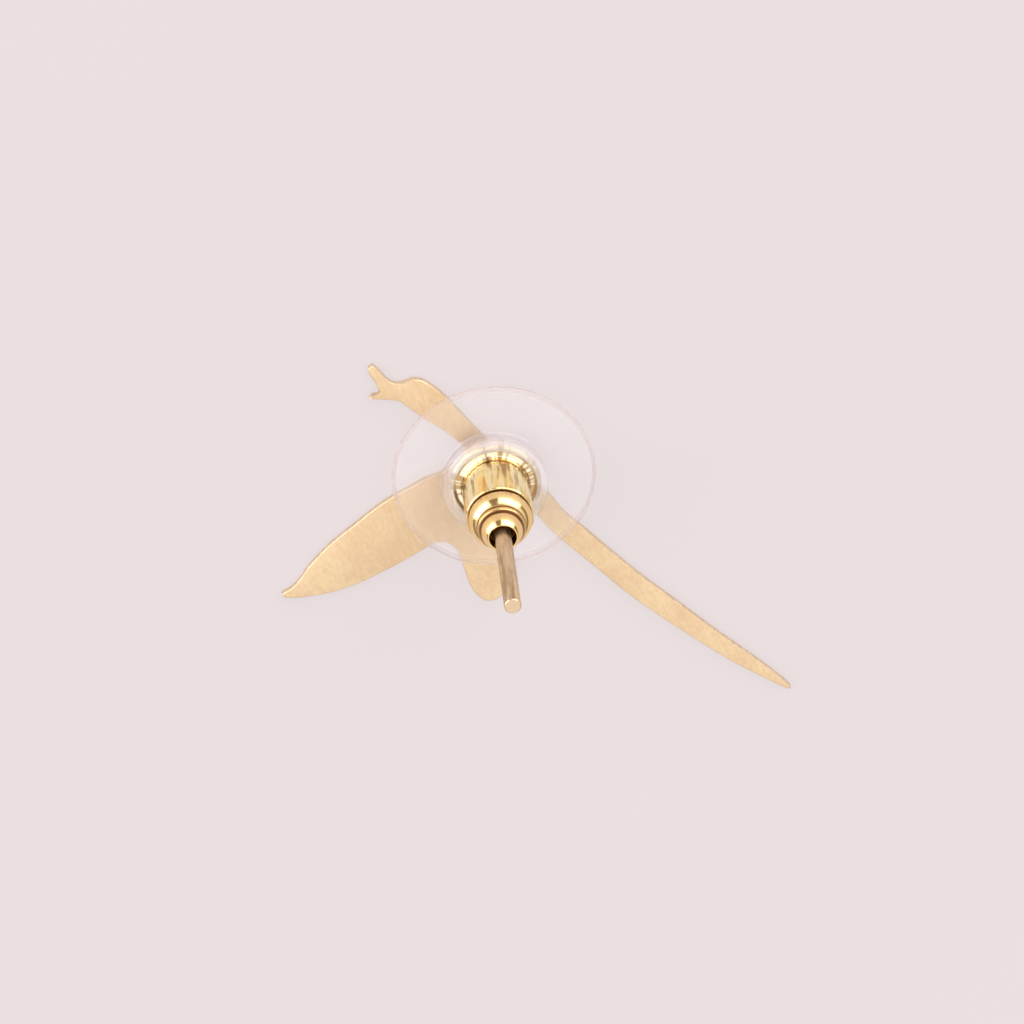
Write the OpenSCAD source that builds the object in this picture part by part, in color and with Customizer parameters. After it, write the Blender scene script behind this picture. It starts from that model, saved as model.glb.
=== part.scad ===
// Dragonfly stud earring, lying face down: a flat plate with its ear post, and the clutch on the post.
// The plate's front face is the plane z = 0, the post stands on the Z axis, and +X points to the head.

/* [Plate] */
// Thickness of the sheet that the dragonfly is cut from
plate_t = 0.35; // [0.25:0.05:0.5]

/* [Post] */
// Diameter of the post's free length
post_d = 0.8; // [0.7:0.05:0.85]
// Diameter of the post where the clutch sits, a little thicker so that the clutch grips there
root_d = 0.84; // [0.75:0.01:0.86]
// Height of the post's free end above the front face
post_top = 12.75; // [10:0.25:14]
// Chamfer at the post's free end
post_chamfer = 0.06; // [0.02:0.01:0.15]
// Radius of the concave solder fillet round the foot of the post
solder_r = 0.62; // [0.3:0.01:0.64]

/* [Clutch disc] */
// Diameter of the clear disc
disc_d = 10; // [8:0.5:12]
// Thickness of the clear disc
disc_t = 0.4; // [0.3:0.05:0.6]
// Height of the disc's front face above the plate's front face
disc_z = 0.7; // [0.7:0.05:1.5]
// Hole through the middle of the disc
disc_bore_d = 1; // [1:0.05:1.4]
// Outer diameter of the collar that holds the barrel
collar_d = 5.12; // [4.9:0.02:5.6]
// Height of the collar above the disc's back face
collar_h = 0.95; // [0.9:0.05:1.2]
// Inner diameter of the lip that is snapped over the flange
lip_d = 4.08; // [3.6:0.02:4.2]
// Thickness of that lip
lip_t = 0.25; // [0.15:0.05:0.3]

/* [Clutch barrel] */
// Diameter of the flange at the foot
flange_d = 4.48; // [4.3:0.02:4.5]
// Thickness of the flange at its rim
flange_t = 0.43; // [0.3:0.01:0.45]
// Diameter of the plain barrel
barrel_d = 3.3; // [3:0.05:3.5]
// Length of the plain barrel above the flange
barrel_len = 3.07; // [2.5:0.01:3.5]
// Diameter of the rounded ring above the barrel's shoulder
ring_d = 3.06; // [2.9:0.02:3.2]
// Diameter of the small ring under the bead
neck_d = 2.32; // [2.2:0.02:2.6]
// Diameter of the bead at the tip
bead_d = 2.02; // [1.9:0.02:2.1]
// Diameter of the open mouth
mouth_d = 1.3; // [1.1:0.05:1.4]
// Running clearance between the barrel's bore and the post, on the radius
bore_gap = 0.03; // [0.02:0.01:0.08]

/* [Hidden] */
$fn = 64;
curve_steps = 6;

gold = [0.93, 0.79, 0.6];
polished_gold = [0.9, 0.74, 0.42];
clear = [0.92, 0.89, 0.9, 0.35];

// Columns of the limb tables: distance along the limb's axis, and reach to its left and to its right
ALONG = 0;
LEFT = 1;
RIGHT = 2;

// Tail, body and head, from the tail's tip: left is the belly side, right is the back
body_rows = [
    [-20.56,  0.12, -0.05],
    [-20.45,  0.20,  0.00],
    [-20.10,  0.28,  0.04],
    [-19.40,  0.41,  0.08],
    [-18.10,  0.62,  0.10],
    [-16.90,  0.79,  0.08],
    [-15.00,  0.94,  0.05],
    [-12.50,  1.07,  0.08],
    [-10.00,  1.10,  0.09],
    [ -7.50,  0.95,  0.22],
    [ -5.80,  0.86,  0.34],
    [ -4.40,  0.75,  0.41],
    [ -3.00,  0.45,  0.72],
    [  0.00,  0.05,  1.02],
    [  2.00, -0.14,  1.21],
    [  3.40, -0.18,  1.45],
    [  4.50, -0.09,  1.64],
    [  5.40, -0.08,  1.68],
    [  6.05, -0.08,  1.58],
    [  6.40, -0.05,  1.32],
    [  6.60,  0.00,  0.95],
    [  6.80,  0.05,  0.71],
    [  7.00,  0.05,  0.60],
    [  7.12,  0.00,  0.50]
];

// Long fore wing, from the body: left is the edge towards the tail
fore_wing_rows = [
    [ 0.00,  2.40, 0.75],
    [ 1.90,  3.00, 0.92],
    [ 2.80,  3.45, 1.15],
    [ 3.94,  3.30, 1.26],
    [ 3.98,  3.03, 1.27],
    [ 4.02,  2.77, 1.28],
    [ 4.10,  2.48, 1.29],
    [ 4.32,  2.22, 1.32],
    [ 4.75,  2.03, 1.36],
    [ 5.50,  1.98, 1.38],
    [ 6.60,  1.88, 1.31],
    [ 7.80,  1.71, 1.23],
    [ 8.70,  1.57, 1.15],
    [ 9.80,  1.28, 0.94],
    [10.50,  1.01, 0.75],
    [11.20,  0.64, 0.48],
    [11.80,  0.30, 0.38],
    [12.20,  0.00, 0.41],
    [12.36, -0.20, 0.42]
];

// Short hind wing, from the body: left is the edge towards the tail
hind_wing_rows = [
    [-1.00, 1.50, 1.00],
    [ 0.50, 1.60, 1.40],
    [ 1.10, 1.52, 1.50],
    [ 1.50, 1.45, 1.40],
    [ 1.70, 1.44, 1.32],
    [ 1.90, 1.42, 1.26],
    [ 2.40, 1.38, 1.16],
    [ 3.00, 1.30, 1.04],
    [ 3.60, 1.12, 0.89],
    [ 4.10, 0.87, 0.67],
    [ 4.45, 0.62, 0.43],
    [ 4.65, 0.32, 0.15]
];

// Upper feeler, from the head
upper_feeler_rows = [
    [0.00,  0.30, 0.80],
    [0.25,  0.36, 0.62],
    [0.45,  0.37, 0.43],
    [0.70,  0.31, 0.33],
    [1.00,  0.23, 0.30],
    [1.30,  0.21, 0.29],
    [1.60,  0.17, 0.27],
    [1.80,  0.09, 0.22],
    [1.90, -0.02, 0.13]
];

// Lower feeler, from the head
lower_feeler_rows = [
    [-0.45, 0.45, 0.30],
    [-0.20, 0.34, 0.40],
    [ 0.00, 0.27, 0.40],
    [ 0.30, 0.21, 0.36],
    [ 0.65, 0.15, 0.20],
    [ 0.80, 0.13, 0.14],
    [ 1.02, 0.09, 0.09],
    [ 1.25, 0.06, 0.05]
];

// Where each limb starts, the heading of its axis in degrees, and its table
limbs = [
    [[0, 0], 0, body_rows],
    [[0.6, 0], 78, fore_wing_rows],
    [[-1.5, 2.5], 135, hind_wing_rows],
    [[6.6, -0.1], -13, upper_feeler_rows],
    [[6.5, -0.15], 45, lower_feeler_rows]
];

post_r = post_d / 2;
root_r = root_d / 2;
// The thick root ends inside the mouth, and narrows to the free length over this height
root_top = 5.9;
root_taper = 0.7;

disc_back = disc_z + disc_t;
disc_edge_r = 0.15;
collar_top = disc_back + collar_h;
collar_edge_r = 0.1;
hub_t = 0.18;
flange_gap = 0.04;

flange_z = disc_back + hub_t + flange_gap / 2;
flange_top = flange_z + flange_t;
flange_edge_r = 0.1;
flange_rise = 0.08;
foot_r = 0.12;
barrel_r = barrel_d / 2;
barrel_top = flange_top + barrel_len;
shoulder_r = 0.08;
groove_w = 0.1;
groove_deep = 0.22;
// The ring is straight up to ring_z, and its side curves in above that with this radius
ring_foot = barrel_top + groove_w;
ring_z = ring_foot + 0.13;
ring_edge_r = 0.06;
ring_curve_r = 0.72;
ring_h = 0.63;
neck_groove_w = 0.05;
neck_groove_deep = 0.07;
neck_z = ring_z + ring_h + neck_groove_w;
neck_top = neck_z + 0.24;
neck_edge_r = 0.06;
bead_z = neck_top + 0.03;
bore_r = root_r + bore_gap;
mouth_r = mouth_d / 2;
mouth_rim_r = 0.04;
mouth_floor = bead_z - 0.25;
mouth_cone = 0.2;

// Smooth closed curve through points: a centripetal Catmull-Rom curve with equal steps in each span
function chord(a, b) = sqrt(max(norm(b - a), 0.001));
function slope(a, b, c) =
    (b - a) / chord(a, b) - (c - a) / (chord(a, b) + chord(b, c)) + (c - b) / chord(b, c);
function hermite(p, q, m, n, t) =
    (2 * t ^ 3 - 3 * t ^ 2 + 1) * p + (t ^ 3 - 2 * t ^ 2 + t) * m
    + (3 * t ^ 2 - 2 * t ^ 3) * q + (t ^ 3 - t ^ 2) * n;
function smooth_loop(pts, steps) =
    let (n = len(pts))
    [
        for (i = [0 : n - 1])
            let (a = pts[(i + n - 1) % n], b = pts[i], c = pts[(i + 1) % n], d = pts[(i + 2) % n])
            let (m = chord(b, c) * slope(a, b, c), k = chord(b, c) * slope(b, c, d))
            for (s = [0 : steps - 1]) hermite(b, c, m, k, s / steps)
    ];

// A limb's outline: up its left edge and back down its right edge
function limb_outline(root, heading, rows) =
    let (
        u = [cos(heading), sin(heading)],
        v = [-sin(heading), cos(heading)],
        left = [for (r = rows) root + r[ALONG] * u + r[LEFT] * v],
        right = [for (r = rows) root + r[ALONG] * u - r[RIGHT] * v],
        last = len(rows) - 1
    )
    smooth_loop(concat(left, [for (i = [last : -1 : 0]) right[i]]), curve_steps);

// Points of an arc in a turned section, as [radius, height], from angle a to angle b in n steps
function arc(centre, r, a, b, n = 6) =
    [for (i = [0 : n]) centre + r * [cos(a + (b - a) * i / n), sin(a + (b - a) * i / n)]];

// The dragonfly's outline, cut from sheet
module plate() {
    linear_extrude(height = plate_t)
        union() {
            for (l = limbs) polygon(limb_outline(l[0], l[1], l[2]));
        }
}

// The post with its solder fillet and chamfered end, turned about its axis
module post() {
    rotate_extrude()
        polygon(concat(
            [[0, plate_t / 2], [root_r + solder_r, plate_t / 2]],
            arc([root_r + solder_r, plate_t + solder_r], solder_r, 270, 180),
            [
                [root_r, root_top],
                [post_r, root_top + root_taper],
                [post_r, post_top - post_chamfer],
                [post_r - post_chamfer, post_top],
                [0, post_top]
            ]
        ));
}

module dragonfly_stud() {
    color(gold)
        union() {
            plate();
            post();
        }
}

// Turned metal bullet: flange, plain barrel, groove, rounded ring, groove, small ring and bead
module clutch_barrel() {
    flange_r = flange_d / 2;
    ring_r = ring_d / 2;
    neck_r = neck_d / 2;
    bead_r = bead_d / 2;
    ring_end = asin(ring_h / ring_curve_r);
    bead_foot = asin((neck_top - bead_z) / bead_r);
    bead_end = acos((mouth_r + mouth_rim_r) / (bead_r - mouth_rim_r));
    mouth_top = bead_z + (bead_r - mouth_rim_r) * sin(bead_end);
    color(polished_gold)
        rotate_extrude()
            polygon(concat(
                [[bore_r, flange_z]],
                arc([flange_r - flange_edge_r, flange_z + flange_edge_r], flange_edge_r, -90, 0, 4),
                arc([flange_r - flange_edge_r, flange_top - flange_edge_r], flange_edge_r, 0, 80, 4),
                arc([barrel_r + foot_r, flange_top + flange_rise + foot_r], foot_r, 260, 180, 5),
                arc([barrel_r - shoulder_r, barrel_top - shoulder_r], shoulder_r, 0, 90, 4),
                [
                    [barrel_r - groove_deep, barrel_top],
                    [barrel_r - groove_deep, ring_foot]
                ],
                arc([ring_r - ring_edge_r, ring_foot + ring_edge_r], ring_edge_r, -90, 0, 4),
                arc([ring_r - ring_curve_r, ring_z], ring_curve_r, 0, ring_end, 10),
                [
                    [neck_r - neck_groove_deep, ring_z + ring_h],
                    [neck_r - neck_groove_deep, neck_z],
                    [neck_r, neck_z]
                ],
                arc([neck_r - neck_edge_r, neck_top - neck_edge_r], neck_edge_r, 0, 90, 4),
                arc([0, bead_z], bead_r, bead_foot, bead_end, 14),
                arc([mouth_r + mouth_rim_r, mouth_top], mouth_rim_r, bead_end + 30, 180, 4),
                [
                    [mouth_r, mouth_floor + mouth_cone],
                    [bore_r, mouth_floor]
                ]
            ));
}

// Clear disc with a raised collar, whose lip is snapped over the barrel's flange
module clutch_disc() {
    disc_r = disc_d / 2;
    collar_r = collar_d / 2;
    pocket_r = flange_d / 2 + flange_gap;
    lip_r = lip_d / 2;
    color(clear)
        rotate_extrude()
            polygon(concat(
                [[disc_bore_d / 2, disc_z]],
                arc([disc_r - disc_edge_r, disc_z + disc_edge_r], disc_edge_r, -90, 0, 4),
                arc([disc_r - disc_edge_r, disc_back - disc_edge_r], disc_edge_r, 0, 90, 4),
                arc([collar_r + 0.12, disc_back + 0.12], 0.12, 270, 180, 4),
                arc([collar_r - collar_edge_r, collar_top - collar_edge_r], collar_edge_r, 0, 90, 4),
                arc([lip_r + 0.08, collar_top - 0.08], 0.08, 90, 180, 4),
                [
                    [lip_r, collar_top - lip_t + 0.05],
                    [lip_r + 0.05, collar_top - lip_t],
                    [pocket_r, collar_top - lip_t],
                    [pocket_r, disc_back + hub_t],
                    [disc_bore_d / 2, disc_back + hub_t]
                ]
            ));
}

dragonfly_stud();
clutch_barrel();
clutch_disc();
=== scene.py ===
import math

import bmesh
import bpy
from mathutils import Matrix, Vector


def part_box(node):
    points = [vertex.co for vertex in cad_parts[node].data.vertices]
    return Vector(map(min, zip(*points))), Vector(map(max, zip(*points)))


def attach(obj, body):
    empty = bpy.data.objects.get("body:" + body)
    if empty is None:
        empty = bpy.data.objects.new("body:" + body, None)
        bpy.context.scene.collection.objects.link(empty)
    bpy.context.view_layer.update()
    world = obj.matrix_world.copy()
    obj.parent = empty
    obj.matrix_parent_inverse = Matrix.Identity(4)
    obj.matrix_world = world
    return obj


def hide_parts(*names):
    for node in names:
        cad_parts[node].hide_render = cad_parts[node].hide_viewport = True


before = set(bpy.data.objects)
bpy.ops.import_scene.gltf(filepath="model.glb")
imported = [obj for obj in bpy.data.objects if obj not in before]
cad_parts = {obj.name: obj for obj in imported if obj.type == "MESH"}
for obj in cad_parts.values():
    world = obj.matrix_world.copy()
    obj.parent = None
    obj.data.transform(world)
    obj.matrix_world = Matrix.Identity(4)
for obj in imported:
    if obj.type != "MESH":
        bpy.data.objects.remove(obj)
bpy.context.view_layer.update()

# The view
# The earring lies face down on a pale surface and shows its back, seen from 59 degrees above the surface.
# The picture is turned so that the post points down in it, as the photograph was taken.
view_from = (0.056633, -0.050441, 0.130516)
view_turn = (-30.7447, -4.4323, -138.6357)
camera = bpy.data.objects.new("camera", bpy.data.cameras.new("camera"))
camera.location = view_from
camera.rotation_euler = [math.radians(angle) for angle in view_turn]
camera.data.sensor_width = 36
camera.data.lens = 107.956
camera.data.clip_start = 0.01
camera.data.clip_end = 10
bpy.context.scene.collection.objects.link(camera)
bpy.context.scene.camera = camera
bpy.context.scene.view_settings.view_transform = "Standard"

# Dragonfly plate with its ear post
# The dragonfly is sawn from brass sheet, gold plated and satin brushed one way. The ear post is a drawn wire
# with a flat end, soldered to the middle of the back, where the solder leaves a small hollow fillet.

# Sizes here are in millimetres, and mm turns them into metres.
mm = 0.001
plate_t = 0.35
rim_r = 0.05
rim_steps = 4
solder_r = 0.62
post_root_r = 0.42
post_r = 0.4
post_root_top = 5.9
post_taper_top = 6.6
post_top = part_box("dragonfly_stud")[1].z / mm
post_edge_r = 0.08
around_post = 64

# Points closer than same_point are one, and heights closer than same_height are level.
same_point = 0.001
same_height = 0.01

# A rim can't be rounded where its outline is too fine. So points that nearly meet are joined, also those a
# little further apart at corners sharper than blunt_corner, and the sharpest inside notches are opened.
closest_points = 0.05
closest_at_tips = 0.16
blunt_corner = 167
sharpest_notch = 115


class Shade:
    """One output of a node. Sums with it are worked out over the surface, by Math nodes."""

    def __init__(self, socket):
        self.socket = socket

    def node(self, kind, settings, sockets, output=0):
        """Adds a node of a kind: its settings first, then the values or links of its sockets."""
        tree = self.socket.id_data
        made = tree.nodes.new(kind)
        for name, value in settings.items():
            setattr(made, name, value)
        for name, value in sockets.items():
            if isinstance(value, Shade):
                tree.links.new(value.socket, made.inputs[name])
            else:
                made.inputs[name].default_value = value
        return Shade(made.outputs[output])

    def maths(self, operation, first, second=0):
        """One number from two, all over the surface."""
        return self.node("ShaderNodeMath", {"operation": operation}, {0: first, 1: second})

    def __add__(self, other):
        return self.maths("ADD", self, other)

    def __radd__(self, other):
        return self.maths("ADD", other, self)

    def __sub__(self, other):
        return self.maths("SUBTRACT", self, other)

    def __rsub__(self, other):
        return self.maths("SUBTRACT", other, self)

    def __mul__(self, other):
        return self.maths("MULTIPLY", self, other)

    def __rmul__(self, other):
        return self.maths("MULTIPLY", other, self)

    def vector(self, operation, other):
        """One vector from this and another."""
        return self.node("ShaderNodeVectorMath", {"operation": operation}, {0: self, 1: other})

    def height(self):
        """How high this place is, or how steeply this direction points up."""
        return self.node("ShaderNodeSeparateXYZ", {}, {0: self}, 2)

    def radius(self):
        """How far this place is from the post's axis."""
        flat = self.vector("MULTIPLY", (1, 1, 0))
        return self.node("ShaderNodeVectorMath", {"operation": "LENGTH"}, {0: flat}, 1)

    def facing(self):
        """The level direction of this place, as seen from the post's axis."""
        return self.vector("MULTIPLY", (1, 1, 0)).vector("NORMALIZE", (0, 0, 0))

    def drawn(self, slip):
        """This place on drawn metal, where noise runs out into lines. A small slip makes them long."""
        return self.facing().vector("ADD", self.vector("MULTIPLY", (0, 0, slip)))

    def noise(self, scale, detail, roughness):
        """Soft random clouds over this place, in features for each millimetre."""
        sockets = {"Vector": self, "Scale": scale, "Detail": detail, "Roughness": roughness}
        return self.node("ShaderNodeTexNoise", {}, sockets)

    def ramp(self, low, high):
        """From 0 at low to 1 at high, eased at both ends."""
        settings = {"interpolation_type": "SMOOTHSTEP"}
        return self.node("ShaderNodeMapRange", settings, {"Value": self, "From Min": low, "From Max": high})

    def band(self, rise, fall):
        """From 0 to 1 over the rise and back to 0 over the fall, each given as two numbers."""
        return self.ramp(*rise) - self.ramp(*fall)

    def mix(self, first, second):
        """The first colour where this is 0, and the second where it is 1."""
        return self.node("ShaderNodeMix", {"data_type": "RGBA"}, {0: self, 6: first, 7: second}, 2)

    def bump(self, depth):
        """Fine relief that rises with this, as deep in millimetres as the depth says."""
        return self.node("ShaderNodeBump", {}, {"Height": self, "Distance": depth * mm, "Strength": 1})

    def finish(self, sockets):
        """Ends a finish with its shader, and the values or links of the shader's sockets."""
        tree = self.socket.id_data
        made = self.node("ShaderNodeBsdfPrincipled", {}, sockets)
        output = tree.nodes.new("ShaderNodeOutputMaterial")
        tree.links.new(made.socket, output.inputs["Surface"])


def new_finish(name):
    """A new material, and the place on its piece in millimetres."""
    material = bpy.data.materials.new(name)
    material.use_nodes = True
    material.node_tree.nodes.clear()
    place = Shade(material.node_tree.nodes.new("ShaderNodeTexCoord").outputs["Object"])
    return material, place.vector("MULTIPLY", (1 / mm, 1 / mm, 1 / mm))


def lathe(shape, section, turns):
    """Turns a section about the post's axis. Two numbers in it are a corner's radius and height. Four are
    the radius and height of an arc's centre, the arc's angle from the point before, and its steps."""
    before = set(shape.verts)
    first_radius, first_height = section[0]
    end = shape.verts.new((first_radius * mm, 0, first_height * mm))
    for radius, height, *arc in section[1:]:
        point = (radius * mm, 0, height * mm)
        if arc:
            angle, steps = arc
            swept = bmesh.ops.spin(
                shape, geom=[end], cent=point, axis=(0, -1, 0), angle=math.radians(angle), steps=steps
            )
            end = [part for part in swept["geom_last"] if isinstance(part, bmesh.types.BMVert)][0]
        else:
            end = bmesh.ops.extrude_vert_indiv(shape, verts=[end])["verts"][0]
            end.co = point
    wire = [vert for vert in shape.verts if vert not in before]
    wire += [edge for edge in shape.edges if before.isdisjoint(edge.verts)]
    bmesh.ops.spin(
        shape, geom=wire, cent=(0, 0, 0), axis=(0, 0, 1), angle=math.tau, steps=turns, use_merge=True
    )
    bmesh.ops.remove_doubles(shape, verts=shape.verts, dist=same_point * mm)


def shade_faces(shape, crease):
    """Smooth faces, with a sharp edge wherever two of them meet at a larger angle than the crease's."""
    bmesh.ops.recalc_face_normals(shape, faces=shape.faces)
    for face in shape.faces:
        face.smooth = True
    for edge in shape.edges:
        edge.smooth = edge.calc_face_angle(0) < math.radians(crease)


def new_piece(name, shape, materials):
    """A piece of the scene from a finished shape."""
    mesh = bpy.data.meshes.new(name)
    shape.to_mesh(mesh)
    shape.free()
    for material in materials:
        mesh.materials.append(material)
    piece = bpy.data.objects.new(name, mesh)
    bpy.context.scene.collection.objects.link(piece)
    return piece


# The front of the plate is taken from the frame, cleaned, raised to the sheet's thickness, and rounded at
# its rims. Then the post is turned on the open back, and the back is filled round its foot.
shape = bmesh.new()
shape.from_mesh(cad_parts["dragonfly_stud"].data)
bmesh.ops.remove_doubles(shape, verts=shape.verts, dist=same_point * mm)
above = [face for face in shape.faces if max(vert.co.z for vert in face.verts) > same_height * mm]
bmesh.ops.delete(shape, geom=above, context="FACES")
bmesh.ops.dissolve_faces(shape, faces=shape.faces)
bmesh.ops.remove_doubles(shape, verts=shape.verts, dist=closest_points * mm)
corners = [corner for face in shape.faces for corner in face.loops]
tips = [corner.vert for corner in corners if corner.calc_angle() < math.radians(blunt_corner)]
bmesh.ops.remove_doubles(shape, verts=tips, dist=closest_at_tips * mm)
corners = [corner for face in shape.faces for corner in face.loops if not corner.is_convex]
notches = [corner.vert for corner in corners if corner.calc_angle() < math.radians(sharpest_notch)]
bmesh.ops.dissolve_verts(shape, verts=notches)
made = bmesh.ops.extrude_face_region(shape, geom=shape.faces[:], use_keep_orig=True)
risen = [part for part in made["geom"] if isinstance(part, bmesh.types.BMVert)]
bmesh.ops.translate(shape, verts=risen, vec=(0, 0, plate_t * mm))
rims = [edge for edge in shape.edges if abs(edge.verts[0].co.z - edge.verts[1].co.z) < same_height * mm]
bmesh.ops.bevel(
    shape, geom=rims, affect="EDGES", offset=rim_r * mm, segments=rim_steps, profile=0.5, material=-1,
    clamp_overlap=True,
)
back = max(shape.faces, key=lambda face: face.calc_center_median().z)
bmesh.ops.delete(shape, geom=[back], context="FACES_ONLY")
post_section = [
    (post_root_r + solder_r, plate_t),
    (post_root_r + solder_r, plate_t + solder_r, -90, 10),
    (post_root_r, post_root_top),
    (post_r, post_taper_top),
    (post_r, post_top - post_edge_r),
    (post_r - post_edge_r, post_top - post_edge_r, 70, 4),
    (0, post_top),
]
lathe(shape, post_section, around_post)
open_edges = [edge for edge in shape.edges if edge.is_boundary]
bmesh.ops.triangle_fill(shape, use_beauty=True, use_dissolve=False, edges=open_edges, normal=(0, 0, 1))
shade_faces(shape, crease=24)

# Satin brushing, in long and short strokes, with soft clouds where the plating is warmer
brush_turn = math.radians(22.5)
satin_dark = (0.69, 0.48, 0.285, 1)
satin_light = (0.785, 0.60, 0.375, 1)
satin_warm = (0.775, 0.59, 0.33, 1)
satin_gold, place = new_finish("satin_brushed_gold")
strokes = place.node("ShaderNodeMapping", {}, {"Vector": place, "Rotation": (0, 0, brush_turn)})
fine = strokes.vector("MULTIPLY", (1.6, 18, 1)).noise(1, 3, 0.6)
broad = strokes.vector("MULTIPLY", (1.0, 5, 1)).noise(1, 2, 0.5)
across = strokes.vector("MULTIPLY", (11, 2.2, 1)).noise(1, 2, 0.5)
mottle = strokes.vector("MULTIPLY", (3.0, 4.5, 1)).noise(1, 3, 0.65)
clouds = place.vector("ADD", (6, 3, 0)).noise(0.35, 2, 0.5)
tone = 0.22 * fine + 0.10 * broad + 0.08 * across + 0.30 * mottle + 0.30 * clouds
gold = tone.ramp(0.38, 0.62).mix(satin_dark, satin_light)
gold = (mottle * 0.4 + clouds * 0.6).ramp(0.52, 0.74).mix(gold, satin_warm)
worn = tone.ramp(0.3, 0.7) * 0.12 + 0.52
grooves = (fine * 0.6 + across * 0.4).bump(0.003)
place.finish({"Base Color": gold, "Metallic": 0.5, "Roughness": worn, "Normal": grooves})

# The sawn side wall, dull with fine saw cuts, and a little greyer at its foot, as painted shade where it
# meets the table
cut_dark = (0.56, 0.40, 0.25, 1)
cut_light = (0.68, 0.51, 0.33, 1)
cut_foot_shade = (0.50, 0.40, 0.27, 1)
sawn_gold, place = new_finish("sawn_edge")
cuts = place.vector("MULTIPLY", (5, 5, 2)).noise(1, 2, 0.5)
colour = cuts.ramp(0.3, 0.7).mix(cut_dark, cut_light)
colour = place.height().ramp(0.03, 0.12).mix(cut_foot_shade, colour)
grooves = cuts.bump(0.006)
place.finish({"Base Color": colour, "Metallic": 0.4, "Roughness": 0.35, "Normal": grooves})

# The rounded rims, painted darker and duller than the face, as painted shade along the outline
rim_dark = (0.62, 0.47, 0.31, 1)
rim_light = (0.80, 0.63, 0.44, 1)
shaded_rim_gold, place = new_finish("shaded_rim")
rim_mottle = place.noise(3, 2, 0.5)
colour = rim_mottle.ramp(0.35, 0.65).mix(rim_dark, rim_light)
place.finish({"Base Color": colour, "Metallic": 1, "Roughness": rim_mottle * 0.12 + 0.32})

# The drawn wire of the post, with dull lines along it and a paler cut end
wire_dark = (0.48, 0.33, 0.17, 1)
wire_light = (0.76, 0.58, 0.37, 1)
cut_end_gold = (0.75, 0.555, 0.365, 1)
post_gold, place = new_finish("dull_drawn_gold")
lines = place.drawn(0.07).noise(1.8, 3, 0.6)
patches = place.drawn(0.5).noise(1.6, 2, 0.5)
tone = lines * 0.65 + patches * 0.35
dull = tone.ramp(0.40, 0.60).mix(wire_dark, wire_light)
cut_end = place.height().ramp(post_top - 0.06, post_top - 0.03)
colour = cut_end.mix(dull, cut_end_gold)
rub = tone.ramp(0.3, 0.7) * 0.15 + 0.28
grooves = lines.bump(0.01)
place.finish({"Base Color": colour, "Metallic": 1, "Roughness": rub, "Normal": grooves})

# Faces above the plate are the post's. On the plate, the steep ones are side wall, the level ones are
# satin, and those between are the rim.
steep = 0.3
level = 0.98
finishes = [satin_gold, post_gold, sawn_gold, shaded_rim_gold]
stud = new_piece("dragonfly", shape, finishes)
for face in stud.data.polygons:
    if face.center.z > (plate_t + same_point) * mm:
        face.material_index = finishes.index(post_gold)
    elif abs(face.normal.z) < steep:
        face.material_index = finishes.index(sawn_gold)
    elif abs(face.normal.z) < level:
        face.material_index = finishes.index(shaded_rim_gold)
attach(stud, "stud")
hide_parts("dragonfly_stud")

# Clutch barrel
# A hollow bullet, turned, gold plated and polished: a flange at the foot, a plain barrel, a rounded ring
# between two cut grooves, and a bead with an open mouth. Die lines run along it, and the post through it.

# Heights go up from the foot, each worked out from one below it.
around_barrel = 128
bore_r = 0.45
flange_r = 2.24
flange_edge_r = 0.10
flange_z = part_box("clutch_barrel")[0].z / mm
flange_top = flange_z + 0.43
foot_z = flange_top + 0.20
foot_r = 0.12
foot_edge_z = foot_z - 0.118
barrel_r = 1.65
foot_edge_r = barrel_r + 0.10
barrel_top = foot_z + 2.87
shoulder_r = 0.08
groove_r = 1.43
ring_r = 1.53
ring_edge_r = 0.06
ring_foot = barrel_top + 0.10
ring_z = ring_foot + 0.13
ring_curve_r = 0.72
neck_groove_r = 1.09
neck_groove_z = ring_z + 0.63
neck_r = 1.16
neck_foot = neck_groove_z + 0.05
neck_foot_edge_r = 0.02
neck_top = neck_foot + 0.24
neck_edge_r = 0.06
bead_groove_r = 0.98
bead_groove_w = 0.04
bead_groove_deep = 0.02
bead_foot_r = 1.0096
bead_z = neck_top + 0.03
mouth_r = 0.65
mouth_rim_r = 0.04
mouth_rim_z = bead_z + 0.682
mouth_floor = bead_z - 0.25
mouth_cone = 0.20
barrel_section = [
    (bore_r, flange_z),
    (flange_r - flange_edge_r, flange_z),
    (flange_r - flange_edge_r, flange_z + flange_edge_r, 90, 6),
    (flange_r, flange_top - flange_edge_r),
    (flange_r - flange_edge_r, flange_top - flange_edge_r, 80, 6),
    (foot_edge_r, foot_edge_z),
    (barrel_r + foot_r, foot_z, -80, 6),
    (barrel_r, barrel_top - shoulder_r),
    (barrel_r - shoulder_r, barrel_top - shoulder_r, 90, 6),
    (groove_r, barrel_top),
    (groove_r, ring_foot),
    (ring_r - ring_edge_r, ring_foot),
    (ring_r - ring_edge_r, ring_foot + ring_edge_r, 90, 6),
    (ring_r, ring_z),
    (ring_r - ring_curve_r, ring_z, 61, 16),
    (neck_groove_r, neck_groove_z),
    (neck_groove_r, neck_foot),
    (neck_r - neck_foot_edge_r, neck_foot),
    (neck_r - neck_foot_edge_r, neck_foot + neck_foot_edge_r, 90, 4),
    (neck_r, neck_top - neck_edge_r),
    (neck_r - neck_edge_r, neck_top - neck_edge_r, 90, 6),
    (bead_groove_r + bead_groove_w, neck_top),
    (bead_groove_r, neck_top - bead_groove_deep),
    (bead_foot_r, neck_top),
    (0, bead_z, 46.35, 20),
    (mouth_r + mouth_rim_r, mouth_rim_z, 135, 6),
    (mouth_r, mouth_floor + mouth_cone),
    (bore_r, mouth_floor),
    (bore_r, flange_z),
]
shape = bmesh.new()
lathe(shape, barrel_section, around_barrel)
shade_faces(shape, crease=40)
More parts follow.
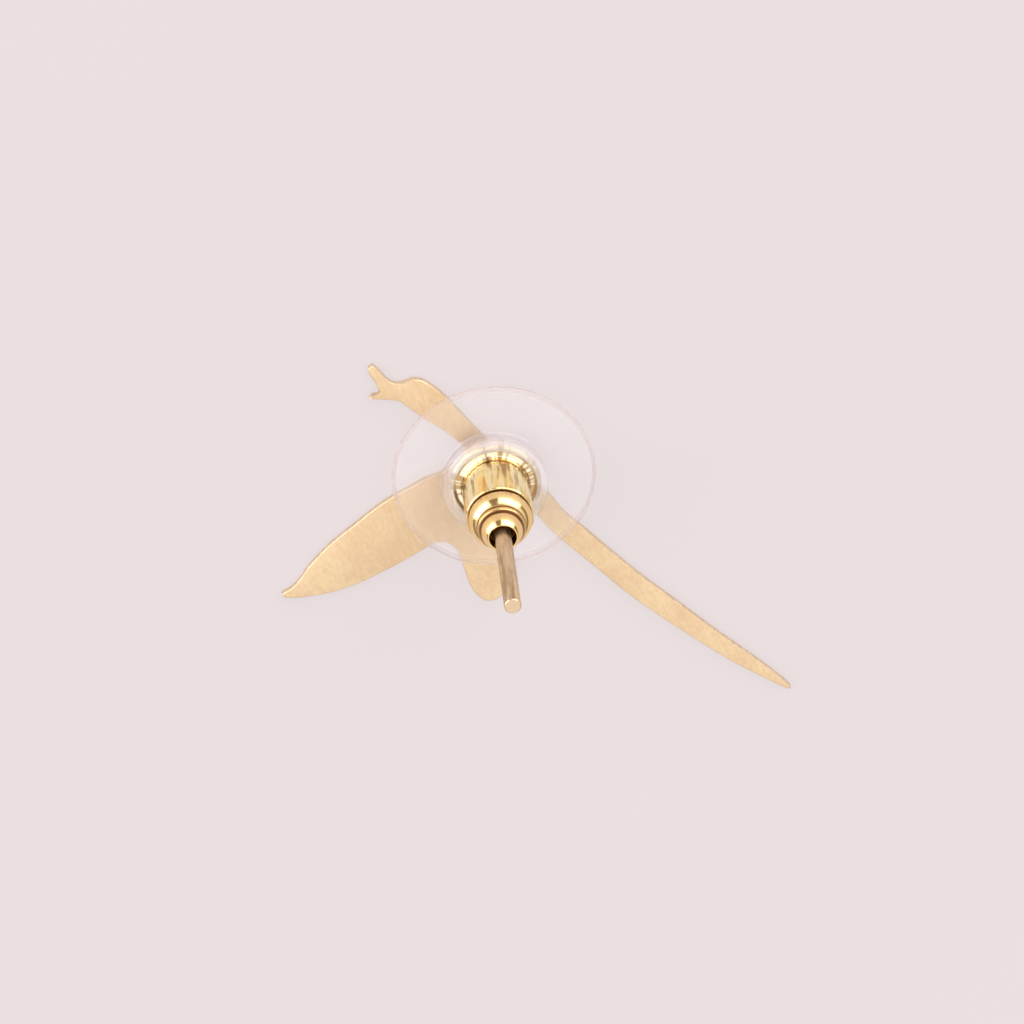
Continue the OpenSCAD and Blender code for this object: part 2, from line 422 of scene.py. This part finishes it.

# Mirror gold, its streaks partly die lines and partly painted reflections, with painted shade in grooves and
# mouth
gold_deep = (1.0, 0.75, 0.30, 1)
gold_pale = (1.0, 0.88, 0.50, 1)
flange_brown = (0.56, 0.37, 0.17, 1)
flange_pale = (1.0, 0.88, 0.62, 1)
nose_gold = (0.94, 0.67, 0.30, 1)
streak_and_reflection_brown = (0.45, 0.28, 0.11, 1)
groove_shade_brown = (0.36, 0.20, 0.10, 1)
lip_shadow_brown = (0.34, 0.20, 0.10, 1)
mouth_shade_brown = (0.20, 0.10, 0.03, 1)
mirror_gold, place = new_finish("polished_gold")
radius = place.radius()
height = place.height()
drawn = place.drawn(0.085)
lines = drawn.noise(6.5, 2, 0.5)
wide = drawn.noise(3.2, 2, 0.5)
tone = lines * 0.72 + wide * 0.28
above_flange = height.ramp(foot_z - 0.08, foot_z + 0.17)
near_foot = height.ramp(foot_z - 0.13, foot_z + 0.37) - height.ramp(foot_z + 0.87, barrel_top - 0.10) * 0.6
on_nose = height.ramp(barrel_top - 0.05, barrel_top + 0.05)
on_body = 1 - height.ramp(ring_foot + 0.05, ring_foot + 0.45)
in_mouth = 1 - radius.ramp(mouth_r - 0.03, mouth_r + 0.01)
# Brown streaks along the barrel, mostly low on it: partly die lines and partly painted dark reflections
streaks_and_reflections = (1 - tone.ramp(0.38, 0.52)) * near_foot * on_body
# Brown and pale stripes on the flange: partly tone and partly painted reflections
flange_gold = (lines * 0.6 + wide * 0.4).ramp(0.43, 0.52).mix(flange_brown, flange_pale)
# Deep and pale gold in broad bands along the barrel: partly tone and partly painted reflections and
# highlights
gold = wide.ramp(0.4, 0.6).mix(gold_deep, gold_pale)
gold = above_flange.mix(flange_gold, gold)
gold = on_nose.mix(gold, nose_gold)
gold = streaks_and_reflections.mix(gold, streak_and_reflection_brown)

# Columns: the radius and the height of each groove, and how far the painted shade reaches out of it
groove_rows = [
    (groove_r + 0.03, barrel_top + 0.05, 0.17),
    (neck_groove_r + 0.02, neck_foot - 0.02, 0.13),
    (bead_groove_r + 0.02, neck_top + 0.01, 0.17),
]
# Painted shade: each groove and the metal beside it are darkened brown, and round the bead's foot this also
# paints its dark reflections
groove_shade = 0
for groove_radius, groove_height, reach in groove_rows:
    off = radius - groove_radius
    above = height - groove_height
    apart = off.maths("SQRT", off * off + above * above)
    groove_shade = (1 - apart.ramp(reach * 0.5, reach)) + groove_shade
gold = groove_shade.mix(gold, groove_shade_brown)

# A broken brown line on the flange, along the edge of the lip that holds it: a painted shadow of the lip
lip_shadow_r = 1.98
lip_shadow = radius.band((lip_shadow_r - 0.12, lip_shadow_r - 0.04), (lip_shadow_r + 0.04, lip_shadow_r + 0.12))
lip_shadow = lip_shadow * (1 - height.ramp(foot_z + 0.02, foot_z + 0.12)) * wide.ramp(0.40, 0.50)
gold = lip_shadow.mix(gold, lip_shadow_brown)
# Painted shade: the inside of the mouth is darkened brown, as the shade down the hole
gold = in_mouth.mix(gold, mouth_shade_brown)
dulled = in_mouth * 0.4 + groove_shade * 0.25 + 0.15 - on_body * 0.08
grooves = (place.drawn(0.06).noise(6.0, 2, 0.5) * on_body).bump(0.06)
place.finish({"Base Color": gold, "Metallic": 1, "Roughness": dulled, "Normal": grooves})
barrel = new_piece("barrel", shape, [mirror_gold])
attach(barrel, "clutch")
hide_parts("clutch_barrel")

# Comfort disc
# A clear plastic washer, moulded in one with a collar. The collar's lip is snapped over the barrel's flange.
# It is 10 mm across, less a hair that keeps it inside the frame's own disc.
around_disc = 320
disc_bore_r = 0.5
disc_r = 4.998
disc_edge_r = 0.15
disc_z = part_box("clutch_disc")[0].z / mm
disc_back = disc_z + 0.40
collar_r = 2.56
collar_foot_r = 0.12
collar_edge_r = 0.10
collar_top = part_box("clutch_disc")[1].z / mm
lip_r = 2.04
lip_edge_r = 0.08
lip_slope = 0.05
lip_z = collar_top - 0.25
pocket_r = 2.28
pocket_floor = disc_back + 0.18
disc_section = [
    (disc_bore_r, disc_z),
    (disc_r - disc_edge_r, disc_z),
    (disc_r - disc_edge_r, disc_z + disc_edge_r, 90, 6),
    (disc_r, disc_back - disc_edge_r),
    (disc_r - disc_edge_r, disc_back - disc_edge_r, 90, 6),
    (collar_r + collar_foot_r, disc_back),
    (collar_r + collar_foot_r, disc_back + collar_foot_r, -90, 5),
    (collar_r, collar_top - collar_edge_r),
    (collar_r - collar_edge_r, collar_top - collar_edge_r, 90, 6),
    (lip_r + lip_edge_r, collar_top),
    (lip_r + lip_edge_r, collar_top - lip_edge_r, 90, 6),
    (lip_r, lip_z + lip_slope),
    (lip_r + lip_slope, lip_z),
    (pocket_r, lip_z),
    (pocket_r, pocket_floor),
    (disc_bore_r, pocket_floor),
    (disc_bore_r, disc_z),
]
shape = bmesh.new()
lathe(shape, disc_section, around_disc)
shade_faces(shape, crease=40)

# Clear plastic, a little milky in the collar and dulled at the rim, with soft ripples from the mould. The
# rim and the collar's outer corner are tinted with painted shade.
plastic_tint = (0.95, 0.92, 0.935, 1)
rim_shade_tint = (0.71, 0.60, 0.59, 1)
corner_shade_tint = (0.80, 0.75, 0.82, 1)
clear, place = new_finish("clear_plastic")
radius = place.radius()
height = place.height()
rim_start = disc_r - disc_edge_r
rim = radius.ramp(rim_start - 0.088, rim_start + 0.012)
collar = radius.band((lip_r - 0.14, lip_r - 0.04), (collar_r + 0.06, collar_r + 0.14))
collar = collar * height.ramp(disc_back - 0.02, disc_back + 0.02)
corner = collar * radius.ramp(collar_r - 0.06, collar_r)
flow = place.noise(0.8, 2, 0.5)
ripple = place.noise(3.5, 2, 0.6)
# Painted shade: grey-pink at the rim and lilac at the collar's outer corner
tint = rim.mix(plastic_tint, rim_shade_tint)
tint = corner.mix(tint, corner_shade_tint)
grooves = ((flow - 0.5 + ripple * collar * 1.5) * (1 - rim)).bump(0.01)
place.finish(
    {
        "Base Color": tint,
        "Roughness": flow * 0.04 + rim * 0.7 + 0.01,
        "IOR": 1.49,
        "Transmission Weight": 0.62,
        "Alpha": rim * 0.20 + collar * 0.38 + 0.16,
        "Normal": grooves,
    }
)
disc = new_piece("comfort_disc", shape, [clear])
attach(disc, "clutch")
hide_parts("clutch_disc")

# Table top and light
# A plain pale surface with a dull sheen, in a room so bright that hardly a shadow shows. Polished metal
# mirrors the room: two barred windows beside the camera, a dark gap between them, and dim brown walls.
table_half = 1.5
table_drop = 0.01
table_dark = (0.795, 0.71, 0.72, 1)
table_light = (0.81, 0.73, 0.735, 1)
shape = bmesh.new()
bmesh.ops.create_grid(shape, x_segments=8, y_segments=8, size=table_half)
bmesh.ops.translate(shape, verts=shape.verts, vec=(0, 0, -table_drop * mm))
pale, place = new_finish("pale_surface")
tint = place.noise(0.05, 2, 0.5).mix(table_dark, table_light)
place.finish(
    {
        "Base Color": (0.13, 0.116, 0.117, 1),
        "Roughness": 0.45,
        "Specular IOR Level": 0.12,
        "Emission Color": tint,
        "Emission Strength": 0.80,
    }
)
table = new_piece("table_top", shape, [pale])

room = bpy.data.worlds.new("room")
room.use_nodes = True
room.node_tree.nodes.clear()
bpy.context.scene.world = room
way = Shade(room.node_tree.nodes.new("ShaderNodeTexCoord").outputs["Generated"])

# Directions in the room: how steeply up, and how far to the camera's left in the picture, in radians
camera_azimuth = math.atan2(view_from[1], view_from[0])
ahead = (math.cos(camera_azimuth), math.sin(camera_azimuth), 0)
aside = (-ahead[1], ahead[0], 0)
forward = way.node("ShaderNodeVectorMath", {"operation": "DOT_PRODUCT"}, {0: way, 1: ahead}, 1)
sideways = way.node("ShaderNodeVectorMath", {"operation": "DOT_PRODUCT"}, {0: way, 1: aside}, 1)
up = way.height()
to_left = way.maths("ARCTAN2", sideways, forward)
to_right = 0 - to_left

# Light in the room, from its walls and ceiling, its windows, and the gap between them
room_light = 1.12
window_light = 2.8
gap_light = 0.3
dim_colour = (1, 0.70, 0.48, 1)
bright_colour = (1, 0.99, 0.985, 1)
surround = (0.80, 0.72, 0.73, 1)
left_window = to_left.band((0.42, 0.60), (1.5, 1.7))
right_window = to_right.band((0.0, 0.14), (1.15, 1.35))
openings = left_window + right_window
bars = way.facing().noise(6.5, 1, 0.5).ramp(0.53, 0.58)
windows = openings * (1 - bars * 0.6) * (1 - up.ramp(0.60, 0.76))
walls = (1 - up.ramp(0.15, 0.6)) * (1 - openings) * 0.75
behind_camera = 1 - to_left.maths("ABSOLUTE", to_left).ramp(0.35, 0.6)
dim = behind_camera * (1 - up.ramp(0.78, 0.92)) * 0.5
gap = to_left.band((-0.02, 0.10), (0.38, 0.52)) * (1 - up.ramp(0.80, 0.90))
bright = ((room_light - dim) * (1 - walls) + windows * window_light) * (1 - gap) + gap * gap_light
shade = bright.ramp(0.1, 0.7).mix(dim_colour, bright_colour)
light = way.node("ShaderNodeBackground", {}, {"Color": shade, "Strength": bright})
plain = way.node("ShaderNodeBackground", {}, {"Color": surround, "Strength": 1})
seen = way.node("ShaderNodeLightPath", {}, {}, "Is Camera Ray")
both = way.node("ShaderNodeMixShader", {}, {0: seen, 1: light, 2: plain})
output = room.node_tree.nodes.new("ShaderNodeOutputWorld")
room.node_tree.links.new(both.socket, output.inputs["Surface"])
